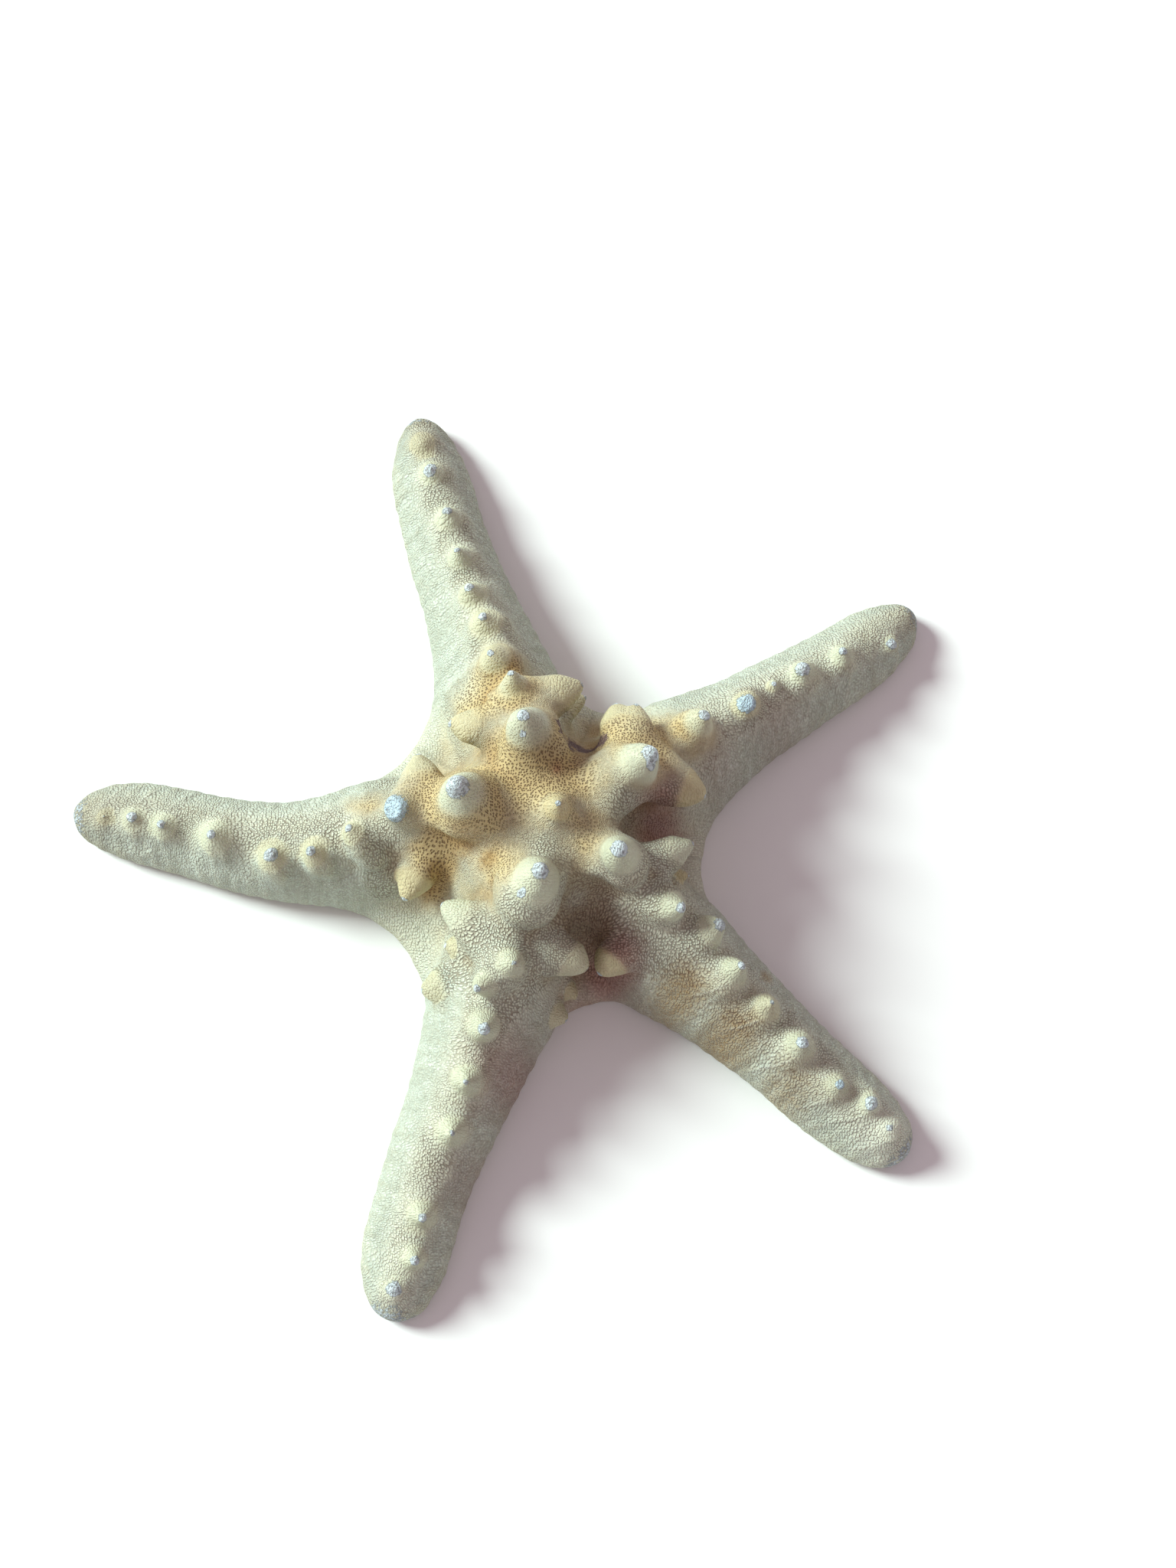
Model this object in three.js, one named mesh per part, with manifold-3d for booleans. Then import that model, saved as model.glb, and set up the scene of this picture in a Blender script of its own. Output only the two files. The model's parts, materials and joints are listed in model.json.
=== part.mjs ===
// A dried horned sea star: one grown piece, a domed disc drawn out into five blunt arms, with
// tubercles on its back and a flat underside that holds the mouth and a furrow down each arm.
// Millimetres, +Z up. The underside stands on Z = 0, under the middle of the star's own box.

import * as THREE from 'three';
import { mergeVertices } from 'three/addons/utils/BufferGeometryUtils.js';
import Module from 'manifold-3d';

const wasm = await Module();
wasm.setup();

// ---- Driving dimensions -------------------------------------------------------------------

const disc = {
  height: 29.5,        // top of the back's bare skin
  footRadius: 26.5,    // where the dome's flank meets the web between the arms
  footHeight: 4,
  shoulder: [          // the dome's bare skin between its foot and its top, as radius and height
    [23.5, 13],
    [19.5, 21],
    [14, 26.3],
    [7, 29],
  ],
  sides: 30,
  webThickness: 6,
  webStep: 1.8,        // the web thins by this much, in and up, at its edge
  webReach: 37,        // how far out along an arm the web's hollow sides run into it,
  webEdge: 9,          // and its half width there
  baySegments: 8,      // facets round a quarter of a hollow side
};

const arm = {
  slenderHalfWidth: 6.6,   // what the half width tends to, towards the tip
  rootHalfWidth: 11.2,     // half width at the root
  rootDistance: 30,
  flareLength: 13,         // how quickly the root's extra width dies away
  tipRounding: 15.5,       // length of the rounded end
  tipRidge: 5.5,           // what the ridge's height tends to
  ridgeRise: 24,           // its extra height near the disc
  ridgeStart: 8,
  ridgeFall: 40,
  tipThickness: 0.45,      // share of the ridge's height left at the very tip
  ridgeCurve: 1.4,         // over 1, the ridge falls slowly at first
  bowLength: 17,           // how much of an arm its bow takes up, either side
  tipHalfWidth: 1.2,       // the end isn't drawn finer than this
  rows: 14,                // facets along an arm, which crowd together towards its tip
  rowCrowding: 1.5,
};

// Half of an arm's section, in shares of its half width and its height: flat under, a rounded
// margin, and a flank that climbs to the ridge.
const halfSection = [
  [0, 0],
  [0.86, 0],
  [1, 0.18],
  [0.93, 0.44],
  [0.64, 0.74],
  [0.3, 0.93],
  [0, 1],
];

// The furrow under each arm, and the mouth in the middle of the underside.
const furrow = { rootRadius: 1.9, tipRadius: 0.9, start: 2, endGap: 7, sides: 6, bends: 6 };
const mouth = { radius: 5.5, depth: 3.2, sides: 14, rings: 8 };

// A tubercle's root runs this deep into the body, its waist and its blunt end are so wide and so
// high as shares of its own radius and height, and it has this many sides.
const cone = {
  buried: 2.5,
  waist: { width: 0.75, height: 0.4 },
  end: { width: 0.3, height: 0.94 },
  sides: 7,
};

// Each arm, counted clockwise from the one that points up: its bearing from +X, its reach from
// the disc's centre, how far its middle bows to the left, at a distance from the centre, and
// the radius of the hollow web on its left.
// A tubercle: how far along the arm and across it (left is positive) its root stands, how high
// its tip stands over the root, its width there, and how far the tip leans out and to the left.
const arms = [
  {
    bearing: 105.7,
    reach: 82.5,
    bayRadius: 22,
    bow: { by: 1, at: 58 },
    tubercles: [
      { along: 13.5, across: 0, rise: 9.5, width: 9, out: 0.7, left: 1.8 },
      { along: 21.5, across: 0, rise: 5.5, width: 6.5, out: 2.4, left: 0.7 },
      { along: 28.5, across: 0.8, rise: 4, width: 7, out: 1, left: 1.6 },
      { along: 36, across: 0.6, rise: 4, width: 7, out: 1.2, left: 0.9 },
      { along: 42.5, across: 1.2, rise: 4, width: 6.5, out: 1.2, left: 0.9 },
      { along: 50.5, across: 1, rise: 4, width: 6, out: 1, left: 0.9 },
      { along: 58.5, across: 0.9, rise: 3.8, width: 6, out: 1.2, left: 0.5 },
      { along: 68.5, across: 1.2, rise: 3, width: 5.5, out: 0.4, left: 1 },
      { along: 75, across: 1.4, rise: 2, width: 6, out: 0, left: 0.2 },
      { along: 18.5, across: 7.6, rise: 2.5, width: 6.5, out: 1.6, left: 4.2 },
      { along: 20, across: -5.3, rise: 2.5, width: 7, out: 1, left: -6.2 },
      { along: 21, across: -9.5, rise: -1, width: 5, out: 0.9, left: -3.8 },
    ],
  },
  {
    bearing: 34.5,
    reach: 79.8,
    bayRadius: 17,
    bow: { by: -0.8, at: 62 },
    tubercles: [
      { along: 15.5, across: -0.8, rise: 9, width: 9.5, out: 2.4, left: -0.9 },
      { along: 29.5, across: 0.3, rise: 5, width: 7, out: 1.7, left: 0.1 },
      { along: 40.5, across: -0.3, rise: 3.2, width: 6, out: -0.5, left: -0.3 },
      { along: 47, across: 0.3, rise: 1.5, width: 3, out: 0, left: 0 },
      { along: 52.8, across: -0.7, rise: 4, width: 6, out: 0, left: 0.8 },
      { along: 61.2, across: -1.4, rise: 3.5, width: 5.5, out: 0, left: 0.6 },
      { along: 71, across: -3.6, rise: 1.5, width: 3.5, out: 0, left: -0.2 },
      { along: 19.2, across: 7.2, rise: 2.5, width: 6.5, out: 1.6, left: 4 },
      { along: 20.6, across: 5.2, rise: 2, width: 5, out: 3.4, left: 3.4 },
      { along: 21, across: -7, rise: 1, width: 7, out: 2.5, left: -3.6 },
    ],
  },
  {
    bearing: -39.5,
    reach: 80.1,
    bayRadius: 19.5,
    bow: { by: -0.7, at: 68 },
    tubercles: [
      { along: 13, across: 0.6, rise: 7.5, width: 8, out: -0.6, left: 0.3 },
      { along: 24, across: 1.2, rise: 5, width: 7, out: 2.2, left: 0.2 },
      { along: 31.5, across: 3, rise: 4, width: 6.5, out: 0.6, left: 2 },
      { along: 38.5, across: 0.6, rise: 4.2, width: 6.5, out: 0.7, left: 1.6 },
      { along: 46.3, across: 0.5, rise: 4, width: 6, out: 0.4, left: 1 },
      { along: 54.4, across: -0.5, rise: 4, width: 6, out: 0.2, left: 0.6 },
      { along: 63.3, across: -1.1, rise: 3, width: 5.5, out: 0.6, left: 0.5 },
      { along: 69.2, across: 0.6, rise: 2.8, width: 5, out: 0.6, left: 0 },
      { along: 74.6, across: -0.2, rise: 1.5, width: 5.5, out: 0, left: 0 },
      { along: 18.3, across: 9.4, rise: 2.2, width: 6, out: 1.8, left: 3.6 },
      { along: 21, across: 8.2, rise: -1.6, width: 3.5, out: 1.8, left: 1.6 },
      { along: 23, across: -10, rise: 0, width: 6.5, out: 0.2, left: -3.6 },
    ],
  },
  {
    bearing: -107,
    reach: 82.7,
    bayRadius: 14.5,
    bow: { by: -1.1, at: 60 },
    tubercles: [
      { along: 12.8, across: 0.8, rise: 9.5, width: 9.5, out: -0.6, left: 0.5 },
      { along: 25, across: 0.6, rise: 4.5, width: 6.5, out: 0.2, left: 1.2 },
      { along: 28.5, across: -1.2, rise: 3.5, width: 5.5, out: 2.4, left: -1.6 },
      { along: 34.8, across: -0.2, rise: 4.2, width: 6.5, out: 1.6, left: 0.5 },
      { along: 43.4, across: 0.2, rise: 4.2, width: 6.5, out: 1.6, left: -0.3 },
      { along: 51.7, across: 0.1, rise: 4.2, width: 6.5, out: 1.2, left: 0.3 },
      { along: 65.4, across: -0.4, rise: 4, width: 6, out: 1.4, left: 0.5 },
      { along: 72.3, across: 0.2, rise: 3.4, width: 5.5, out: 1, left: 0.8 },
      { along: 78, across: -1, rise: 1.5, width: 5, out: 0.2, left: 0 },
      { along: 19.8, across: 9.8, rise: 1.2, width: 6.5, out: 0.8, left: 3 },
      { along: 22.4, across: 11, rise: -1.5, width: 3.6, out: 0.8, left: 1.6 },
      { along: 27.5, across: 10.5, rise: -1, width: 5.5, out: 0.4, left: 2.4 },
      { along: 19.8, across: -9.2, rise: 2.4, width: 5.5, out: 0.6, left: -2.4 },
      { along: 23.4, across: -9.3, rise: 1.5, width: 4, out: 0.2, left: -0.4 },
      { along: 30, across: -9.6, rise: 0.6, width: 6, out: 1.4, left: -2.4 },
    ],
  },
  {
    bearing: 176.5,
    reach: 79.3,
    bayRadius: 19,
    bow: { by: 4, at: 45 },
    tubercles: [
      { along: 14.2, across: -1.8, rise: 9.5, width: 9.5, out: 1.8, left: 0.4 },
      { along: 23.6, across: 0.2, rise: 4.5, width: 7, out: 2.6, left: 1.6 },
      { along: 31, across: 4.6, rise: 3.2, width: 6.5, out: 2, left: -0.8 },
      { along: 37.2, across: 7.2, rise: 4, width: 5.5, out: 1.6, left: 0.2 },
      { along: 44.4, across: 7.8, rise: 4, width: 6, out: 1, left: 0 },
      { along: 53.8, across: 4.6, rise: 4, width: 7, out: 1.6, left: 0.5 },
      { along: 62.9, across: 3, rise: 3.2, width: 5.5, out: 1, left: 0.3 },
      { along: 68.2, across: 2.2, rise: 3, width: 5, out: 0.8, left: -0.3 },
      { along: 73.6, across: 1.6, rise: 1.4, width: 4, out: 0, left: 0 },
      { along: 21.7, across: -6.3, rise: 3, width: 6, out: 0.6, left: -2.8 },
      { along: 21.6, across: 10.4, rise: 0.8, width: 6.5, out: 1.2, left: 2.8 },
    ],
  },
];

const centralTubercle = { rise: 4.5, width: 6.5, x: 0.5, y: -0.4 };

// ---- Shape rules --------------------------------------------------------------------------

const rad = THREE.MathUtils.degToRad;
const clamp = THREE.MathUtils.clamp;

const polar = (radius, bearing) =>
  new THREE.Vector2(radius * Math.cos(rad(bearing)), radius * Math.sin(rad(bearing)));

// Shrinks from 1 to 0 over the rounded end of an arm.
function tipShare(star, along) {
  const into = clamp((along - star.reach + arm.tipRounding) / arm.tipRounding, 0, 1);
  return Math.sqrt(1 - into ** 2);
}

function halfWidth(star, along) {
  const flare = Math.exp((arm.rootDistance - Math.max(along, arm.rootDistance)) / arm.flareLength);
  const width = arm.slenderHalfWidth + (arm.rootHalfWidth - arm.slenderHalfWidth) * flare;
  return width * tipShare(star, along);
}

function ridgeHeight(star, along) {
  const fall = (Math.max(along - arm.ridgeStart, 0) / arm.ridgeFall) ** arm.ridgeCurve;
  const height = arm.tipRidge + arm.ridgeRise * Math.exp(-fall);
  return height * (arm.tipThickness + (1 - arm.tipThickness) * tipShare(star, along));
}

// The arm's middle swings out to its bow and back again, as a smooth hump.
function middle(star, along) {
  return star.bow.by * Math.exp(-(((along - star.bow.at) / arm.bowLength) ** 2));
}

// An arm's section as a closed loop, right half first.
const section = [
  ...halfSection.map(([across, up]) => [-across, up]),
  ...halfSection.slice(1, -1).reverse(),
];

const domeProfile = [
  [0, 0],
  [disc.footRadius, 0],
  [disc.footRadius, disc.footHeight],
  ...disc.shoulder,
  [0, disc.height],
].map(([radius, up]) => new THREE.Vector2(radius, up));

// How high the back's bare skin lies at a radius from the centre of the disc.
function domeHeight(radius) {
  for (let i = domeProfile.length - 1; i > 1; i--) {
    const [inner, outer] = [domeProfile[i], domeProfile[i - 1]];
    if (radius <= outer.x) {
      return THREE.MathUtils.mapLinear(radius, inner.x, outer.x, inner.y, outer.y);
    }
  }
  return 0;
}

// How high an arm's skin lies at a distance from its middle line.
function flankHeight(star, along, across) {
  const share = Math.abs(across - middle(star, along)) / Math.max(halfWidth(star, along), 0.1);
  const height = ridgeHeight(star, along);
  for (let i = halfSection.length - 1; i > 2; i--) {
    const [inner, outer] = [halfSection[i], halfSection[i - 1]];
    if (share <= outer[0]) {
      return height * THREE.MathUtils.mapLinear(share, inner[0], outer[0], inner[1], outer[1]);
    }
  }
  return 0;
}

// ---- Solids -------------------------------------------------------------------------------

function solidOf(geometry) {
  const bare = geometry.clone();
  bare.deleteAttribute('normal');
  bare.deleteAttribute('uv');
  const merged = mergeVertices(bare, 1e-4);
  return new wasm.Manifold(
    new wasm.Mesh({
      numProp: 3,
      vertProperties: new Float32Array(merged.attributes.position.array),
      triVerts: new Uint32Array(merged.index.array),
    }),
  );
}

function standUp(geometry) {
  return geometry.rotateX(Math.PI / 2);
}

function dome() {
  return solidOf(standUp(new THREE.LatheGeometry(domeProfile, disc.sides)));
}

// The middle of the circle that runs into an arm's left edge and the next arm's right edge.
function bayCentre(star, next, radius, edge) {
  const left = polar(1, star.bearing + 90);
  const right = polar(1, next.bearing - 90);
  const cosine = left.dot(right);
  const toStar = edge + radius + middle(star, disc.webReach);
  const toNext = edge + radius - middle(next, disc.webReach);
  return left
    .multiplyScalar(toStar - cosine * toNext)
    .addScaledVector(right, toNext - cosine * toStar)
    .divideScalar(1 - cosine ** 2);
}

// A plate with a hollow, round side between each two arms.
function webPlate(inset, thickness) {
  const outline = new THREE.Shape();
  for (let i = arms.length - 1; i >= 0; i--) {
    const star = arms[i];
    const next = arms[(i + arms.length - 1) % arms.length];
    const radius = star.bayRadius + inset;
    const centre = bayCentre(star, next, radius, disc.webEdge - inset);
    const start = rad(star.bearing - 90);
    outline.absarc(centre.x, centre.y, radius, start, rad(next.bearing + 90), true);
  }
  const settings = { depth: thickness, curveSegments: disc.baySegments, bevelEnabled: false };
  return solidOf(new THREE.ExtrudeGeometry(outline, settings));
}

function web() {
  const lower = webPlate(0, disc.webThickness - disc.webStep);
  return lower.add(webPlate(disc.webStep, disc.webThickness));
}

function armSolid(star) {
  const tube = new THREE.CylinderGeometry(1, 1, 1, section.length, arm.rows);
  const position = tube.attributes.position;
  const direction = polar(1, star.bearing);
  for (let i = 0; i < position.count; i++) {
    const share = position.getY(i) + 0.5;
    const along = star.reach * (1 - (1 - share) ** arm.rowCrowding);
    const onAxis = Math.hypot(position.getX(i), position.getZ(i)) < 0.5;
    const turn = Math.atan2(position.getZ(i), position.getX(i)) / (2 * Math.PI);
    const step = Math.round(THREE.MathUtils.euclideanModulo(turn, 1) * section.length);
    const [across, up] = onAxis ? [0, 0.5] : section[step % section.length];
    const width = Math.max(halfWidth(star, along), arm.tipHalfWidth);
    const left = middle(star, along) + across * width;
    position.setXYZ(
      i,
      direction.x * along - direction.y * left,
      direction.y * along + direction.x * left,
      up * ridgeHeight(star, along),
    );
  }
  return solidOf(tube);
}

// A blunt cone with a flared root, standing on a root point and leaning to a tip point.
function tubercle(root, tip, width) {
  const height = root.distanceTo(tip);
  const radius = width / 2;
  const profile = [
    [0, -cone.buried],
    [radius, -cone.buried],
    [radius * cone.waist.width, height * cone.waist.height],
    [radius * cone.end.width, height * cone.end.height],
    [0, height],
  ].map(([across, up]) => new THREE.Vector2(across, up));
  const turned = new THREE.LatheGeometry(profile, cone.sides);
  const lean = new THREE.Quaternion().setFromUnitVectors(
    new THREE.Vector3(0, 1, 0),
    tip.clone().sub(root).normalize(),
  );
  turned.applyQuaternion(lean).translate(root.x, root.y, root.z);
  return solidOf(turned);
}

function armTubercle(star, spot) {
  const outwards = polar(1, star.bearing);
  const leftwards = new THREE.Vector2(-outwards.y, outwards.x);
  const foot = outwards.clone().multiplyScalar(spot.along).addScaledVector(leftwards, spot.across);
  const skin = Math.max(domeHeight(foot.length()), flankHeight(star, spot.along, spot.across));
  const head = foot
    .clone()
    .addScaledVector(outwards, spot.out)
    .addScaledVector(leftwards, spot.left);
  return tubercle(
    new THREE.Vector3(foot.x, foot.y, skin),
    new THREE.Vector3(head.x, head.y, skin + spot.rise),
    spot.width,
  );
}

function middleTubercle() {
  const { x, y, rise, width } = centralTubercle;
  return tubercle(
    new THREE.Vector3(x, y, disc.height),
    new THREE.Vector3(x, y, disc.height + rise),
    width,
  );
}

// A furrow tapers along the underside of an arm, half sunk in it.
function furrowCutter(star) {
  const length = star.reach - furrow.endGap - furrow.start;
  const { tipRadius, rootRadius, sides, bends } = furrow;
  const groove = new THREE.CylinderGeometry(tipRadius, rootRadius, length, sides, bends);
  groove.rotateZ(-Math.PI / 2).translate(length / 2 + furrow.start, 0, 0);
  const position = groove.attributes.position;
  for (let i = 0; i < position.count; i++) {
    position.setY(i, position.getY(i) + middle(star, position.getX(i)));
  }
  groove.rotateZ(rad(star.bearing));
  return solidOf(groove);
}

function mouthCutter() {
  const bowl = new THREE.SphereGeometry(1, mouth.sides, mouth.rings);
  return solidOf(standUp(bowl.scale(mouth.radius, mouth.depth, mouth.radius)));
}

function starfishGeometry() {
  let body = dome().add(web());
  for (const star of arms) {
    body = body.add(armSolid(star));
  }
  for (const star of arms) {
    for (const spot of star.tubercles) {
      body = body.add(armTubercle(star, spot));
    }
  }
  body = body.add(middleTubercle());
  body = body.subtract(mouthCutter());
  for (const star of arms) {
    body = body.subtract(furrowCutter(star));
  }
  const mesh = body.getMesh();
  const geometry = new THREE.BufferGeometry();
  geometry.setAttribute('position', new THREE.BufferAttribute(mesh.vertProperties, 3));
  geometry.setIndex(new THREE.BufferAttribute(mesh.triVerts, 1));
  geometry.computeBoundingBox();
  const box = geometry.boundingBox;
  geometry.translate(-(box.min.x + box.max.x) / 2, -(box.min.y + box.max.y) / 2, -box.min.z);
  geometry.computeVertexNormals();
  return geometry;
}

const chalk = new THREE.MeshStandardMaterial({ color: '#cdbd96', roughness: 0.75, metalness: 0 });
const starfish = new THREE.Mesh(starfishGeometry(), chalk);
starfish.name = 'starfish';

const group = new THREE.Group();
group.add(starfish);

export default group;
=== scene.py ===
import json
import math

import bmesh
import bpy
import numpy as np
from mathutils import Matrix, Vector, noise

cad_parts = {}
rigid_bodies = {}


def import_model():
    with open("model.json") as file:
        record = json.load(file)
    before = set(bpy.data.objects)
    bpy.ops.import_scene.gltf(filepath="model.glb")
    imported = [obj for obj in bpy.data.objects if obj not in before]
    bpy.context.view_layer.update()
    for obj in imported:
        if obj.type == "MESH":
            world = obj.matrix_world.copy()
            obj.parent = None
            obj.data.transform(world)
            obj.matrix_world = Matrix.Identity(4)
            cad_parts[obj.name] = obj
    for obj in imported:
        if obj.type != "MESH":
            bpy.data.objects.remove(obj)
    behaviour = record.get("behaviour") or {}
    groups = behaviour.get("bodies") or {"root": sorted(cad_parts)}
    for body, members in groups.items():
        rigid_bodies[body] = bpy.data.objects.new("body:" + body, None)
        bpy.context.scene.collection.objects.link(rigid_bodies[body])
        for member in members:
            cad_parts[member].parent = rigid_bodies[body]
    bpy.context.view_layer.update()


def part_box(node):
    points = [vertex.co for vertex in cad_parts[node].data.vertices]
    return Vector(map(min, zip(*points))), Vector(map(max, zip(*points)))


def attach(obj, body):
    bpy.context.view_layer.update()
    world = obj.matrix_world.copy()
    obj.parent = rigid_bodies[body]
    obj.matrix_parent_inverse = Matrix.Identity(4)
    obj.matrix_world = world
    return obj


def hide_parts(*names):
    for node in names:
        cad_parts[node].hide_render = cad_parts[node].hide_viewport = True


# A dried horned sea star. Lengths are millimetres round the middle of the disc until the skin
# is finished, and metres in the shared frame after that.

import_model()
cadLow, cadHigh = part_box("starfish")
print("frame loaded, box in mm:", [round(1000 * v, 1) for v in cadHigh - cadLow])


# ---- the sea star's shape

body = {
    "discProfile": [(27, 0), (27, 3), (24, 5.5), (21, 8.5), (19.2, 13), (17.8, 17.5), (16.2, 21.5),
                    (14.2, 24.6), (11.2, 27), (6.5, 28.8), (0, 29.5)],
    "domeRadii": [0, 7, 14, 19.5, 23.5, 26.5],     # the bare skin's height over the disc, by radius
    "domeHeights": [29.5, 29, 26.3, 21, 13, 4],
    "slender": 6.6,        # half width that an arm tends to
    "rootHalfWidth": 11.2,
    "rootDistance": 30,
    "flare": 13,           # how quickly the root's extra width dies away
    "tipRounding": 15.5,
    "tipRidge": 5.5,       # what the ridge's height tends to, and its extra height at the disc
    "ridgeRise": 24,
    "ridgeStart": 8,
    "ridgeFall": 40,
    "tipThickness": 0.45,
    "bowLength": 17,
    "webEdge": 9,          # half width of an arm where the hollow web runs into it
    "webReach": 37,
    "webInset": 0.9,       # how far inside its outline the web's first ring lies
    "webRings": [(-0.9, 0.9), (0.1, 1.6), (0.9, 1.6), (2.2, 1.3), (4.5, 0.6)],   # inset and rise of the rest
    "thornRoot": 3.2,      # how far inland and how deep an edge thorn's root lies
    "thornDepth": 1.4,
    "firstVoxel": 0.9,     # the bare body's skin, then the whole star's
    "lastVoxel": 0.58,
    "valleys": [(6.5, -14, 5.5, 2.2), (15, 1, 4.5, 1.6), (5, 14, 4, 1.5), (-14, -8, 5, 1), (-11, 12, 4, 0.8)],
    "bays": [(140, 0.06, 14), (66, 0.1, 13), (4, 0.28, 15), (-68, 0.05, 14)],  # bearing, share, spread
    "mound": (7, 0.9),     # radius and height of the swelling under each cone of the disc
    "regrow": 0.1,         # what smoothing takes off the bare body
}

smoothing = {
    "bareRounds": 8,
    "bareShare": 0.6,
    "starRounds": 22,
    "starShare": 0.07,     # everywhere, and what the fillets round the roots get on top
    "filletShare": 0.6,
    "wideRounds": 25,      # a much smoothed copy, to tell hollows from crests
    "wideShare": 0.8,
    "hollowDepth": 0.8,    # mm below that copy which counts as a full hollow
}

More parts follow.
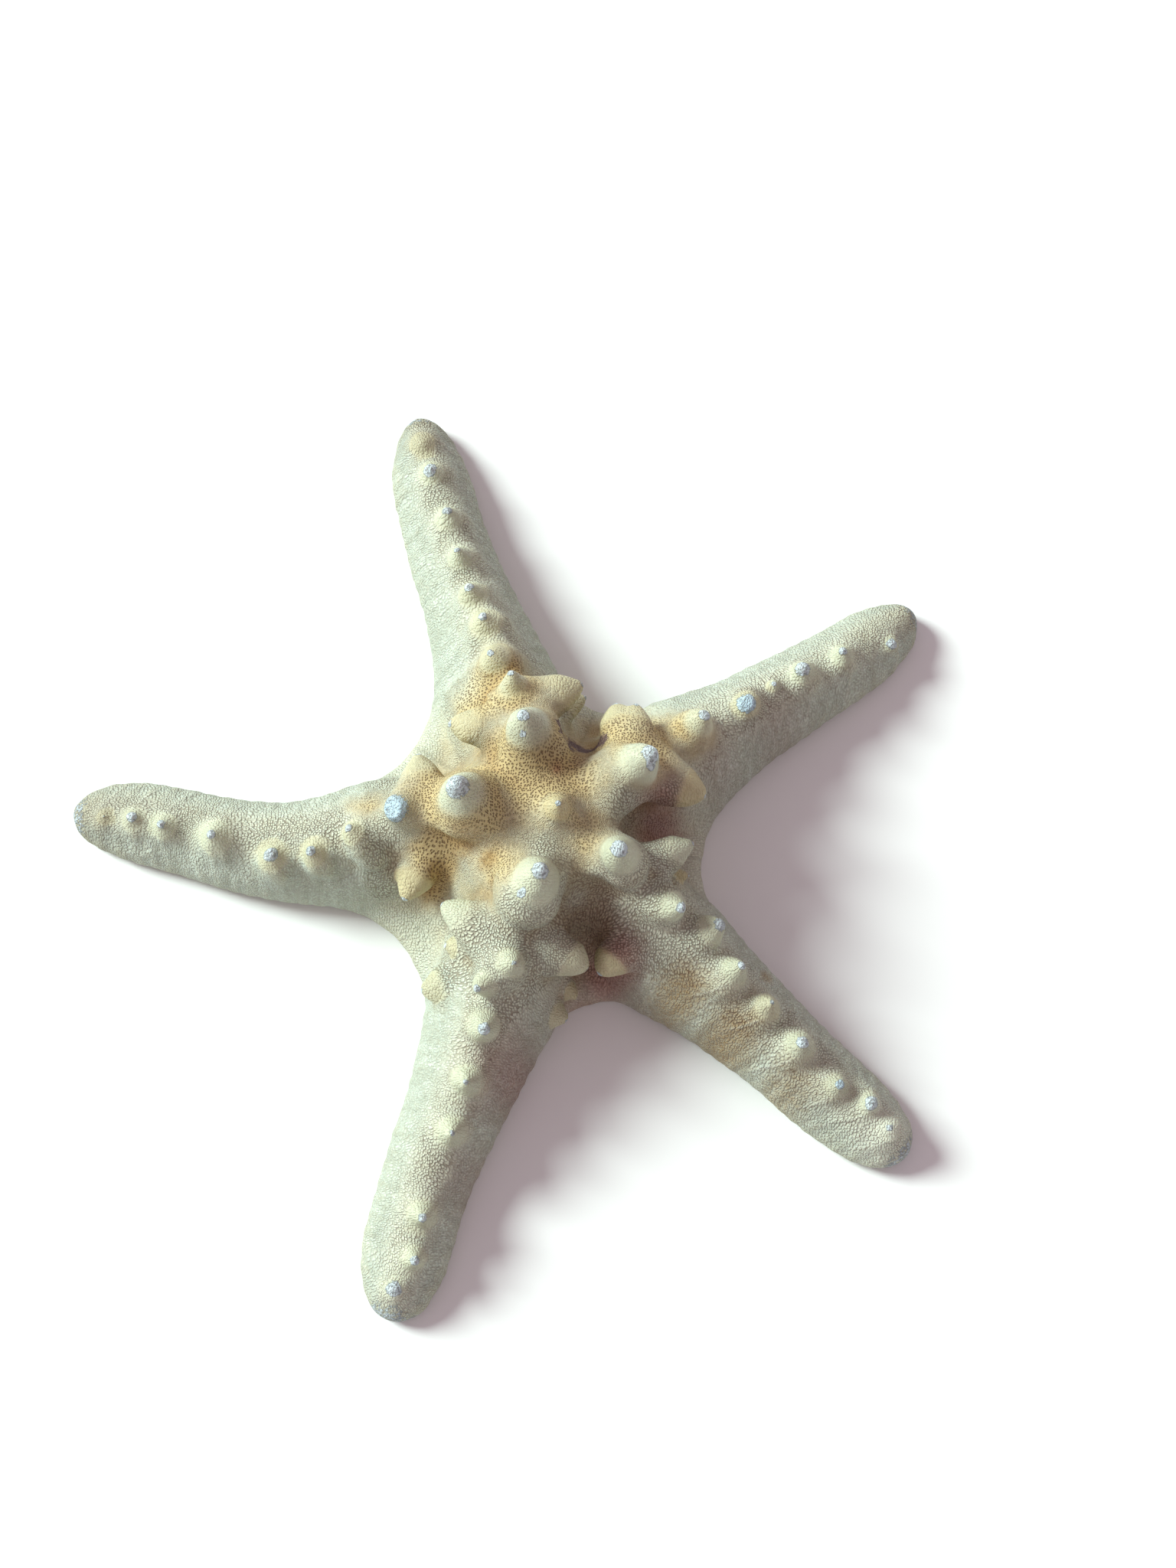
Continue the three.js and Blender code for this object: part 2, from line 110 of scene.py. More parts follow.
# Ridge tubercles and disc spikes. along, across, rise, width, out and left place them as on the
# solid part. skin is how far up the pores climb, wax how amber it is (0 cream, 1 amber), chalk
# the radius of the worn white tip, cut the share of the height where the top is broken off, and
# flat how much thinner it is than wide.
arms = [
    {
        "bearing": 105.7, "reach": 82.5, "bay": 22, "bowBy": 1.3, "bowAt": 62, "blunt": 2.05, "stout": 0.45,
        "tubercles": [
            dict(along=12.3, across=0, rise=9.5, width=10, out=1.8, left=1.8, skin=0.42, chalk=1.1),
            dict(along=21.5, across=0, rise=5.5, width=6.5, out=2.4, left=0.7, wax=0.5, chalk=0.6,
                 skin=0.35),
            dict(along=28.5, across=0.8, rise=4, width=7, out=1, left=1.6, wax=0.55, chalk=0.6),
            dict(along=36, across=0.6, rise=4, width=7, out=1.2, left=0.9, wax=0.4, chalk=0.9),
            dict(along=42.5, across=1.2, rise=4, width=6.5, out=1.2, left=0.9, wax=0.3, chalk=0.8),
            dict(along=50.5, across=1, rise=4, width=6, out=1, left=0.9, chalk=0.7),
            dict(along=58.5, across=0.9, rise=3.8, width=6, out=1.2, left=0.5, chalk=0.9),
            dict(along=68.5, across=1.2, rise=3, width=5.5, out=0.4, left=1, chalk=1.5),
            dict(along=75, across=1.4, rise=2, width=6, out=0, left=0.2, chalk=0, wax=0.5),
            dict(along=18.5, across=7.6, rise=2.5, width=6.5, out=1.6, left=4.2, wax=0.75, chalk=0.7,
                 flat=0.85),
            dict(along=20, across=-5.3, rise=2.5, width=7, out=1, left=-6.2, wax=0.7, chalk=0.7, flat=0.8),
            dict(along=21, across=-9.5, rise=-1, width=5, out=0.9, left=-3.8, wax=0.6, chalk=0.5, flat=0.8),
        ],
    },
    {
        "bearing": 34.5, "reach": 79.8, "bay": 17, "bowBy": -0.8, "bowAt": 62, "blunt": 2.2, "stout": 0.15,
        "tubercles": [
            dict(along=13.4, across=-1.6, rise=9, width=10.4, out=4, left=-0.7, skin=0.42, chalk=1.9),
            dict(along=29.5, across=0.3, rise=5, width=7, out=1.7, left=0.1, wax=0.4, chalk=1, cut=0.9),
            dict(along=40.5, across=-0.3, rise=3.2, width=6, out=-0.5, left=-0.3, chalk=1.7, cut=0.72,
                 wax=0.5),
            dict(along=47, across=0.3, rise=1.5, width=3, out=0, left=0, chalk=0.5),
            dict(along=52.8, across=-0.7, rise=4, width=6, out=0, left=0.8, chalk=1.6, cut=0.85),
            dict(along=61.2, across=-1.4, rise=3.5, width=5.5, out=0, left=0.6, chalk=1),
            dict(along=71, across=-3.6, rise=1.5, width=3.5, out=0, left=-0.2, chalk=1),
            dict(along=19.2, across=7, rise=2.2, width=8, out=1.6, left=3.8, wax=0.75, chalk=0.8, skin=0.5),
            dict(along=20.4, across=5.4, rise=1.8, width=7, out=2.8, left=3.2, wax=0.75, chalk=0.7,
                 skin=0.5),
            dict(along=21, across=-7, rise=5, width=7.6, out=2.6, left=-4, wax=0.9, chalk=0.4, back=4),
        ],
    },
    {
        "bearing": -39.5, "reach": 80.1, "bay": 19.5, "bowBy": -0.8, "bowAt": 68, "blunt": 2.4, "stout": 0.8,
        "tubercles": [
            dict(along=13.2, across=0.4, rise=7.5, width=8.4, out=-0.4, left=-0.1, chalk=1.5, skin=0.4),
            dict(along=23.4, across=1.2, rise=5, width=6.8, out=3, left=0.2, chalk=1.1, cut=0.94, skin=0.4),
            dict(along=31, across=2.6, rise=4, width=6.2, out=1.4, left=2.2, chalk=1.1, cut=0.94,
                 skin=0.35),
            dict(along=38.5, across=0.6, rise=4.2, width=6.5, out=0.7, left=1.6, chalk=0.8),
            dict(along=46.3, across=0.5, rise=4, width=6, out=0.4, left=1, wax=0.4, chalk=0.8),
            dict(along=54.4, across=-0.5, rise=4, width=6, out=0.2, left=0.6, chalk=1.1, cut=0.92),
            dict(along=63.3, across=-1.1, rise=3, width=5.5, out=0.6, left=0.5, chalk=0.8, cut=0.75),
            dict(along=69.2, across=0.6, rise=2.8, width=5, out=0.6, left=0, chalk=1.2, cut=0.9),
            dict(along=74.6, across=-0.2, rise=1.5, width=5.5, out=0, left=0, chalk=0.5),
            dict(along=18.3, across=9.4, rise=2.2, width=6, out=1.8, left=3.6, chalk=0.6, flat=0.85),
            dict(along=21, across=8.2, rise=-1.6, width=3.5, out=1.8, left=1.6, wax=0.9, chalk=0.3),
            dict(along=21.8, across=-9.6, rise=1.4, width=7, out=0, left=-3.2, wax=0.8, chalk=0.5, back=4),
        ],
    },
    {
        "bearing": -107, "reach": 82.7, "bay": 14.5, "bowBy": -1.5, "bowAt": 62, "blunt": 2.4, "stout": 0.75,
        "tubercles": [
            dict(along=12.8, across=0.8, rise=9.5, width=10.2, out=-0.4, left=0.4, chalk=1.7, skin=0.42),
            dict(along=25, across=0.6, rise=4.6, width=6.5, out=0.6, left=1, chalk=0.3, skin=0.5),
            dict(along=28, across=-1.2, rise=3.8, width=5.5, out=3.2, left=-1.8, chalk=0.8, skin=0.4),
            dict(along=34.8, across=-0.2, rise=4.2, width=6.5, out=1.6, left=0.5, chalk=1.1, cut=0.93),
            dict(along=43.4, across=0.2, rise=4.2, width=6.5, out=1.6, left=-0.3, chalk=0.5),
            dict(along=51.7, across=0.1, rise=4.2, width=6.5, out=1.2, left=0.3, chalk=0.5),
            dict(along=65.4, across=-0.4, rise=4, width=6, out=1.4, left=0.5, chalk=0.9),
            dict(along=72.3, across=0.2, rise=3.4, width=5.5, out=1, left=0.8, chalk=1),
            dict(along=78, across=-1, rise=1.5, width=5, out=0.2, left=0, chalk=1.4),
            dict(along=19.8, across=9.8, rise=1.8, width=7.4, out=0.9, left=3.6, wax=0.4, chalk=0.4,
                 back=4.5),
            dict(along=22.6, across=11, rise=-1, width=4, out=1, left=2.4, wax=0.7, chalk=0.3),
            dict(along=27.5, across=10.5, rise=-1, width=5.5, out=0.4, left=2.4, wax=0.5, chalk=0.4,
                 flat=0.8),
            dict(along=19.2, across=-9.2, rise=3.4, width=6.6, out=-0.8, left=-3.6, chalk=0.6, flat=0.9,
                 back=4.5),
            dict(along=23.4, across=-9.5, rise=2.4, width=4.6, out=0.2, left=-0.8, wax=0.6, chalk=0.5,
                 skin=0.05),
            dict(along=30, across=-9.6, rise=0.6, width=6, out=1.4, left=-2.4, wax=0.45, chalk=0.4,
                 flat=0.7),
        ],
    },
    {
        "bearing": 176.5, "reach": 79.3, "bay": 19, "bowBy": 4, "bowAt": 45, "blunt": 2.05, "stout": 0.6,
        "tubercles": [
            dict(along=13.6, across=-0.2, rise=9.5, width=10, out=2.6, left=-0.4, chalk=2.7, skin=0.42),
            dict(along=23.6, across=0.2, rise=4.8, width=6.4, out=3, left=1.6, chalk=2.4, cut=0.74,
                 wax=0.4, skin=0.7),
            dict(along=31, across=4.6, rise=3, width=5.4, out=2, left=-0.8, wax=0.4, chalk=0.8),
            dict(along=37.2, across=7.2, rise=4, width=5.5, out=1.6, left=0.2, wax=0.45, chalk=1, cut=0.92),
            dict(along=44.4, across=7.8, rise=4, width=6, out=1, left=0, wax=0.4, chalk=1.4, cut=0.88),
            dict(along=53.8, across=4.6, rise=4, width=7, out=1.6, left=0.5, chalk=1),
            dict(along=62.9, across=3, rise=3.2, width=5.5, out=1, left=0.3, chalk=0.9),
            dict(along=68.2, across=2.2, rise=3, width=5, out=0.8, left=-0.3, chalk=1, cut=0.9),
            dict(along=73.6, across=1.6, rise=1.4, width=4, out=0, left=0, wax=0.4, chalk=0.3),
            dict(along=21.7, across=-6.3, rise=3.4, width=6.6, out=0.6, left=-3.4, wax=0.6, chalk=0.6,
                 flat=0.9),
            dict(along=21.6, across=10.2, rise=1.6, width=7.4, out=1.2, left=3.4, wax=0.9, chalk=0.7,
                 back=7),
        ],
    },
]

middleTubercle = {"x": 0.5, "y": -0.4, "rise": 4.5, "width": 6.3, "wax": 0.9, "chalk": 0.5, "skin": 0.5}


def tipShare(arm, along):
    into = np.clip((along - arm["reach"] - 0.3 + body["tipRounding"]) / body["tipRounding"], 0, 1)
    return (1 - into ** arm["blunt"]) ** (1 / arm["blunt"])


def halfWidth(arm, along):
    flare = np.exp((body["rootDistance"] - np.maximum(along, body["rootDistance"])) / body["flare"])
    width = body["slender"] + (body["rootHalfWidth"] - body["slender"]) * flare + arm["stout"] * (1 - flare)
    return width * tipShare(arm, along)


def ridgeHeight(arm, along):
    fall = (np.maximum(along - body["ridgeStart"], 0) / body["ridgeFall"]) ** 1.4
    height = body["tipRidge"] + body["ridgeRise"] * np.exp(-fall)
    return height * (body["tipThickness"] + (1 - body["tipThickness"]) * tipShare(arm, along))


def bow(arm, along):  # how far an arm's middle line swings to the left
    return arm["bowBy"] * np.exp(-((along - arm["bowAt"]) / body["bowLength"]) ** 2)


def armSection(turn, along):
    # across and up, in shares of the half width and the ridge's height, once round the arm
    side, over = math.cos(turn), math.sin(turn)
    if over >= 0:
        full = float(np.interp(along, [20, 46], [1.22, 1.6]))   # flanks are straighter near the disc
        return math.copysign(abs(side) ** (2 / full), side), 0.18 + 0.82 * over ** (2 / (full + 0.2))
    return math.copysign(abs(side) ** 0.3, side), 0.18 - 0.18 * (-over) ** 0.6


def skinHeight(arm, along, across):
    # height of the bare skin over a spot beside an arm's middle line
    radius = math.hypot(along, across)
    dome = np.interp(radius, body["domeRadii"], body["domeHeights"], right=0)
    share = min(abs(across - bow(arm, along)) / max(halfWidth(arm, along), 0.1), 1)
    flank = ridgeHeight(arm, along) * (0.18 + 0.82 * (1 - share ** 1.6) ** (1 / 1.8)) * (share < 1)
    return max(dome, flank)


def onArm(arm, along, left, up):
    a = math.radians(arm["bearing"])
    return Vector((along * math.cos(a) - left * math.sin(a), along * math.sin(a) + left * math.cos(a), up))


def addTo(whole, part):
    mesh = bpy.data.meshes.new("part")
    bmesh.ops.recalc_face_normals(part, faces=part.faces)
    part.to_mesh(mesh)
    part.free()
    whole.from_mesh(mesh)
    bpy.data.meshes.remove(mesh)


def spinProfile(profile, steps):
    # a closed turned shape from (radius, height) pairs that start and end on the axis
    part = bmesh.new()
    corners = [part.verts.new((radius, 0, up)) for radius, up in profile]
    edges = [part.edges.new(pair) for pair in zip(corners, corners[1:])]
    bmesh.ops.spin(part, geom=corners + edges, axis=(0, 0, 1), cent=(0, 0, 0),
                   angle=2 * math.pi, steps=steps, use_merge=True)
    bmesh.ops.remove_doubles(part, verts=part.verts, dist=1e-4)
    return part


def armTube(arm):
    rows, sides = 70, 40
    part = bmesh.new()
    bmesh.ops.create_cone(part, cap_ends=True, segments=sides, radius1=1, radius2=1, depth=1)
    lengthwise = [e for e in part.edges if abs(e.verts[0].co.z - e.verts[1].co.z) > 0.5]
    bmesh.ops.subdivide_edges(part, edges=lengthwise, cuts=rows)
    for v in part.verts:
        along = (arm["reach"] + 0.3) * (1 - (0.5 - v.co.z) ** 1.7)
        across, up = armSection(math.atan2(v.co.y, v.co.x), along)
        left = float(bow(arm, along)) + across * max(float(halfWidth(arm, along)), 0.5)
        v.co = onArm(arm, along, left, up * float(ridgeHeight(arm, along)))
    return part


def bayCentre(arm, nextArm, radius):
    # the circle that runs into an arm's left edge and the next arm's right edge
    left = math.radians(arm["bearing"] + 90)
    right = math.radians(nextArm["bearing"] - 90)
    normals = np.array([[math.cos(left), math.sin(left)], [math.cos(right), math.sin(right)]])
    reach = body["webEdge"] + radius
    distances = [reach + bow(arm, body["webReach"]), reach - bow(nextArm, body["webReach"])]
    return np.linalg.solve(normals, distances)


def webRadius(bearing):
    # how far the web's edge is from the middle, looking along a bearing
    look = np.array([math.cos(bearing), math.sin(bearing)])
    reach = body["webReach"]
    for i, arm in enumerate(arms):
        nextArm = arms[i - 1]
        centre = bayCentre(arm, nextArm, arm["bay"])
        near = float(centre @ look)
        gap = arm["bay"] ** 2 - float(centre @ centre) + near ** 2
        if near > 0 and gap > 0:
            reach = min(reach, near - math.sqrt(gap))
    return reach


def webPlate():
    # a plate with hollow sides, its edge rounded by rings drawn up and in
    part = bmesh.new()
    ring = bmesh.ops.create_circle(part, cap_ends=True, segments=360, radius=1)["verts"]
    for v in ring:
        bearing = math.atan2(v.co.y, v.co.x)
        v.co = Vector((math.cos(bearing), math.sin(bearing), 0)) * (webRadius(bearing) - body["webInset"])
    top = part.faces[:]
    for level, (inset, rise) in enumerate(body["webRings"]):
        drawn = bmesh.ops.extrude_face_region(part, geom=top)
        moved = [g for g in drawn["geom"] if isinstance(g, bmesh.types.BMVert)]
        if level:
            bmesh.ops.delete(part, geom=top, context="FACES_ONLY")
        top = [g for g in drawn["geom"] if isinstance(g, bmesh.types.BMFace)]
        for v in moved:
            flat = Vector((v.co.x, v.co.y, 0))
            v.co -= flat.normalized() * inset
            v.co.z += rise
    return part


# Outlines of the kinds of tubercle, as (share of the height, share of the half width): tents along
# the arms' ridges, fuller knobs where the arms leave the disc, cones on the disc, thorns round it.
outlines = {
    "tent": [(-0.3, 1.2), (0.04, 1.14), (0.14, 0.98), (0.28, 0.8), (0.48, 0.6), (0.68, 0.41), (0.86, 0.26)],
    "knob": [(-0.3, 1.2), (0.04, 1.15), (0.14, 1.03), (0.28, 0.88), (0.48, 0.71), (0.68, 0.52), (0.86, 0.33)],
    "crown": [(-0.6, 1.1), (-0.18, 1.35), (0, 1.28), (0.1, 1.12), (0.22, 0.96), (0.36, 0.82), (0.52, 0.67),
              (0.68, 0.52), (0.82, 0.38), (0.93, 0.28)],
    "thorn": [(-0.7, 1.5), (-0.2, 1.55), (0.1, 1.45), (0.35, 1.22), (0.58, 0.94), (0.78, 0.63), (0.93, 0.35)],
}


def kindOf(spot):
    if abs(spot.get("across", 0)) > 5 and spot["along"] < 30.5:
        return "thorn"
    if spot.get("along", 0) < 17:
        return "crown"
    return "knob" if spot["along"] < 33 else "tent"


def tubercleAt(spot, root, tip):
    # a blunt cone whose root flares into the skin
    lean = tip - root
    height = lean.length
    half = spot["width"] / 2
    blunt = min(spot.get("chalk", 0.6) * 0.4, half * 0.4) + 0.25
    outline = [(half * wide, height * up) for up, wide in outlines[kindOf(spot)]]
    outline = [(max(wide, blunt), up) for wide, up in outline]
    profile = [(0, -6), (outline[0][0], -6)] + outline
    profile += [(blunt, height), (blunt * 0.6, height * 1.04), (0, height * 1.06)]
    part = spinProfile(profile, 28)
    turn = Vector((0, 0, 1)).rotation_difference(lean.normalized()).to_matrix().to_4x4()
    sideways = Matrix.Rotation(math.atan2(lean.y, lean.x), 4, "Z")
    flatten = sideways @ Matrix.Diagonal((spot.get("flat", 1), 1, 1, 1)) @ sideways.inverted()
    bmesh.ops.transform(part, matrix=Matrix.Translation(root) @ turn @ flatten, verts=part.verts)
    return part


def everyTubercle():
    # each tubercle with its root and tip, on the bare skin
    spots = []
    for arm in arms:
        for spot in arm["tubercles"]:
            ground = float(skinHeight(arm, spot["along"], spot["across"]))
            root = onArm(arm, spot["along"], spot["across"], ground)
            tipAlong, tipAcross = spot["along"] + spot["out"], spot["across"] + spot["left"]
            tip = onArm(arm, tipAlong, tipAcross, ground + spot["rise"])
            if kindOf(spot) == "thorn":   # thorns grow from inside the disc's shoulder
                back = Vector((spot["out"], spot["left"])).normalized() * spot.get("back", body["thornRoot"])
                inland = (spot["along"] - back.x, spot["across"] - back.y)
                deep = float(skinHeight(arm, *inland)) - body["thornDepth"]
                root = onArm(arm, *inland, min(deep, tip.z - 0.5))
            spots.append((spot, root, tip))
    m = middleTubercle
    top = body["discProfile"][-1][1]
    spots.append((m, Vector((m["x"], m["y"], top)), Vector((m["x"], m["y"], top + m["rise"]))))
    return spots


def voxelSkin(bm, voxel, name):
    # one closed skin over every part in the bmesh
    mesh = bpy.data.meshes.new(name)
    bm.to_mesh(mesh)
    bm.free()
    shell = bpy.data.objects.new(name, mesh)
    bpy.context.scene.collection.objects.link(shell)
    remesh = shell.modifiers.new("skin", "REMESH")
    remesh.mode = "VOXEL"
    remesh.voxel_size = voxel
    remesh.use_smooth_shade = True
    finished = bpy.data.meshes.new_from_object(shell.evaluated_get(bpy.context.evaluated_depsgraph_get()))
    bpy.data.objects.remove(shell)
    return finished


def readMesh(mesh):
    points = np.empty(len(mesh.vertices) * 3, np.float32)
    mesh.vertices.foreach_get("co", points)
    edges = np.empty(len(mesh.edges) * 2, np.int32)
    mesh.edges.foreach_get("vertices", edges)
    return points.reshape(-1, 3).astype(float), edges.reshape(-1, 2)


def writeMesh(mesh, points):
    mesh.vertices.foreach_set("co", points.astype(np.float32).ravel())
    mesh.update()


def neighbourMean(values, edges):
    count = len(values)
    total = np.zeros_like(values)
    degree = np.bincount(edges.ravel(), minlength=count).clip(1)
    for axis in range(values.shape[1]):
        total[:, axis] = (np.bincount(edges[:, 0], values[edges[:, 1], axis], count)
                          + np.bincount(edges[:, 1], values[edges[:, 0], axis], count))
    return total / degree[:, None]


def relax(points, edges, rounds, share):
    for _ in range(rounds):
        points = points + (neighbourMean(points, edges) - points) * share
    return points


def normalsOf(mesh):
    normals = np.empty(len(mesh.vertices) * 3, np.float32)
    mesh.vertex_normals.foreach_get("vector", normals)
    return normals.reshape(-1, 3).astype(float)


def step(low, high, values):
    share = np.clip((values - low) / (high - low), 0, 1)
    return share * share * (3 - 2 * share)


def grain(points, size, seed=0, squash=(1, 1, 1)):
    # soft noise from -1 to 1 with features of about that size
    at = points * np.array(squash) / size + seed * 17.3
    return np.array([noise.noise(p) for p in at])


# bare body: dome, web and arms under one smooth skin
bareBody = bmesh.new()
disc = spinProfile([(0, 0)] + body["discProfile"], 90)
for v in disc.verts:      # the disc's edge draws in between the arms
    bearing = math.degrees(math.atan2(v.co.y, v.co.x))
    drawn = sum(share * math.exp(-((bearing - centre) / spread) ** 2)
                for centre, share, spread in body["bays"])
    v.co.xy *= 1 - drawn
addTo(bareBody, disc)
addTo(bareBody, webPlate())
for arm in arms:
    addTo(bareBody, armTube(arm))
bareMesh = voxelSkin(bareBody, body["firstVoxel"], "bareBody")
barePoints, bareEdges = readMesh(bareMesh)
barePoints = relax(barePoints, bareEdges, smoothing["bareRounds"], smoothing["bareShare"])
writeMesh(bareMesh, barePoints)
barePoints = barePoints + normalsOf(bareMesh) * body["regrow"]
barePoints[:, 2] = np.maximum(barePoints[:, 2], 0)
writeMesh(bareMesh, barePoints)
print("bare body:", len(barePoints), "points")

# tubercles grown on it, and the skin drawn over them all
wholeStar = bmesh.new()
wholeStar.from_mesh(bareMesh)
tubercles = everyTubercle()
for spot, root, tip in tubercles:
    addTo(wholeStar, tubercleAt(spot, root, tip))
starMesh = voxelSkin(wholeStar, body["lastVoxel"], "seaStar")
points, edges = readMesh(starMesh)
print("whole star:", len(points), "points,", len(starMesh.polygons), "faces")


# ---- where things are on the skin

# how far the pored skin climbs each kind of tubercle
skinClimb = {"tent": 0.25, "knob": 0.35, "crown": 0.4, "thorn": 0.4}


def armMaps(points):
    # for each point: which arm is nearest, how far along it and across its middle line it lies
    best = np.full(len(points), 1e9)
    along, across, share, which = (np.zeros(len(points)) for _ in range(4))
    for i, arm in enumerate(arms):
        a = math.radians(arm["bearing"])
        s = points[:, 0] * math.cos(a) + points[:, 1] * math.sin(a)
        t = -points[:, 0] * math.sin(a) + points[:, 1] * math.cos(a)
        turn = np.abs(np.arctan2(t, s))
        nearer = turn < best
        best = np.where(nearer, turn, best)
        offset = t - bow(arm, s)
        along = np.where(nearer, s, along)
        across = np.where(nearer, offset, across)
        share = np.where(nearer, offset / np.maximum(halfWidth(arm, s), 1.5), share)
        which = np.where(nearer, i, which)
    return along, across, share, which.astype(int)


def tubercleMaps(points):
    # how far up a tubercle each point is, its amber, its worn white tip, the fillet round roots,
    # which points lie on a thorn, and the broken tops
    climb, wax, chalk, fillet, thorny, broken = (np.zeros(len(points)) for _ in range(6))
    for spot, root, tip in tubercles:
        axis = np.array((tip - root).normalized())
        height = (tip - root).length
        rel = points - np.array(root)
        up = rel @ axis
        off = rel - up[:, None] * axis
        away = np.linalg.norm(off, axis=1)
        half = spot["width"] / 2
        near = (up > -3) & (up < height + 2) & (away < half * 2.2)
        reach = np.interp(up / height, [-0.2, 0, 0.2, 0.5, 1], [1.6, 1.4, 1.1, 0.85, 0.6]) * half
        member = step(1.3, 1.0, away / reach) * near
        inward = -(off @ np.array((root.x, root.y, 0)) / max(math.hypot(root.x, root.y), 1) / half)
        level = up / height - spot.get("skin", skinClimb[kindOf(spot)]) - 0.08 * inward
        climb = np.maximum(climb, member * step(-0.3, 0.3, level))
        wax = np.where(member > 0.2, np.maximum(wax, spot.get("wax", 0.15)), wax)
        size = spot.get("chalk", 0.6)
        if size > 0:
            cut = spot.get("cut", 1)
            worn = root.lerp(tip, cut)
            toTip = np.linalg.norm(points - np.array(worn), axis=1)
            spread = step(size * 1.4 + 0.3, size * 0.6, toTip) * (member > 0.05)
            chalk = np.maximum(chalk, spread)
            if cut < 0.8:
                broken = np.maximum(broken, spread)
        foot = step(half * 2.1, half * 1.3, away) * step(0.45, 0.05, up / height) * (up > -3.5)
        fillet = np.maximum(fillet, foot)
        if kindOf(spot) == "thorn":
            thorny = np.maximum(thorny, step(1.35, 1.0, away / reach) * near)
    return climb, wax, chalk, fillet, thorny, broken


climb, wax, chalk, fillet, thorny, broken = tubercleMaps(points)
starShare = smoothing["starShare"] + smoothing["filletShare"] * fillet
points = relax(points, edges, smoothing["starRounds"], starShare[:, None])
writeMesh(starMesh, points)
normals = normalsOf(starMesh)
along, across, share, which = armMaps(points)
climb, wax, chalk, fillet, thorny, broken = tubercleMaps(points)
radius = np.hypot(points[:, 0], points[:, 1])
# under is 1 on the underside: where the skin faces down and lies low
under = step(0.35, 0.8, -normals[:, 2]) * step(3.5, 1.5, points[:, 2])

# Patches on the skin, as (x, y, size, strength), in turn: the tan of the disc's middle; a yellow-brown
# stain; a soft darkening, which in the disc's middle is painted shade; painted shade, the purple-brown
# of clefts and flanks that lie in shade; paler arm ends, painted light on those pointing down and to the
# lower right, worn pale on those pointing up and left; a smooth plate without pores; and painted shade
# in the cracks beside it. wornSpots, as (x, y, size), are white places half way down a cone.
patches = {
    "warm": [(-2, 8, 13, 1), (-15, 3, 11, 1), (-19, -6, 6, 0.9), (-9, 22, 9, 1), (14, 14, 11, 0.9),
             (22, 17, 7, 0.8), (5, -3, 9, 0.6), (-9, -9, 7, 0.7), (-30, 4, 6, 0.5)],
    "amber": [(-14, -4.3, 4.5, 0.55), (-19.5, -7.8, 3, 0.7), (-8, 26.5, 4, 0.8),
              (-10.2, -7.5, 2.2, 0.75), (9, 16, 3, 0.5), (22, -27, 7, 0.8), (34, -31, 3.5, 0.6),
              (-10, 22, 4, 0.5), (22, 16, 3.5, 0.5), (37, -23, 2, 0.7), (30, -34, 8, 0.8),
              (40, -42, 8, 0.6)],
    # a soft darkening, which in the disc's middle is painted shade
    "dusk": [(-2, 8, 6, 0.5), (31, -32, 7, 0.4), (42, -43, 9, 0.4), (-77, 3, 9, 0.5), (-22, 77, 7, 0.4)],
    # painted shade: the purple-brown of clefts and flanks that lie in shade
    "paintedCleftShade": [(4.4, 14.6, 3, 0.4), (0.5, 6.6, 1.3, 0.6), (9.2, -20, 8, 0.6), (11, -22, 6, 1),
               (19, 2, 6, 0.9), (10, -12, 5, 0.35), (9, -31, 9, 0.8), (-4, -41, 10, 0.7),
               (-9, -58, 10, 0.5), (40, 20, 9, 0.4), (29, 12, 7, 0.4)],
    # paler arm ends: painted light on those pointing down and to the lower right, worn pale on those pointing
    # up and left
    "litAndWornEnds": [(58, -49, 9, 1), (50, -44, 6, 0.5), (-23, -76, 6, 0.7), (-22, 66, 7, 0.3), (-72, 8, 8, 0.3)],
    "bald": [(7.4, 18.8, 4, 1), (-10.2, -7.5, 1.8, 1)],
    # painted shade in the cracks beside the smooth plate
    "crackShade": [(3, 13.6, 2.1, 1), (2, 15, 1.5, 1), (6.4, 14.5, 1.8, 1), (5, 15.8, 1.6, 1),
               (7.8, 14.2, 1.4, 1)],
    "wornSpots": [(-5.2, -14.9, 0.7), (-5.3, 10.4, 0.5), (15.2, 6.0, 0.8)],
}


def patchMap(name):
    total = np.zeros(len(points))
    for x, y, size, strength in patches[name]:
        away = np.hypot(points[:, 0] - x, points[:, 1] - y) / size
        total = np.maximum(total, strength * np.exp(-away ** 2 * 1.2))
    return total * (1 - under)      # every patch lies on the back only


# pores crowd the disc, and the saddles between an arm's tubercles out to `saddle` either side
saddle = np.interp(along, [20, 34, 76], [12, 4.6, 3.2]) * np.where(which == 2, 1.25, 1)
patchy = 0.75 + 0.5 * grain(points, 6, 6)
pore = step(1.25, 0.55, np.abs(across) / saddle) * patchy * np.interp(along, [30, 50], [1, 0.8])
leftSide = step(5, -8, points[:, 0])      # the pored skin hangs lower on the left
raggedHeight = points[:, 2] + 1.2 * grain(points, 4, 8)
discPore = step(27 + 6 * leftSide, 22 + 6 * leftSide, radius)
discPore = discPore * step(14 - 8 * leftSide, 18.5 - 8 * leftSide, raggedHeight)
pore = np.maximum.reduce([pore * 0.8, discPore, thorny]) * (1 - patchMap("bald")) * (1 - under)
flank = step(0.2, 0.7, np.abs(share)) * step(22, 32, along)

# fine pale seams run from the tubercles down the arms' right flanks, bending back to the disc
seam = np.zeros(len(points))
for i, arm in enumerate(arms):
    for spot in arm["tubercles"]:
        if kindOf(spot) != "tent":
            continue
        fall = np.clip((spot["across"] - 1 - across - bow(arm, along)) / 7, 0, 1)
        aside = along - (spot["along"] + 1.2 - 6 * fall ** 1.4)
        line = 0.7 * np.exp(-(aside / 0.42) ** 2) * step(0, 0.08, fall) * step(1, 0.6, fall)
        seam = np.maximum(seam, line * (which == i) * (1 - climb))

# ---- sculpting

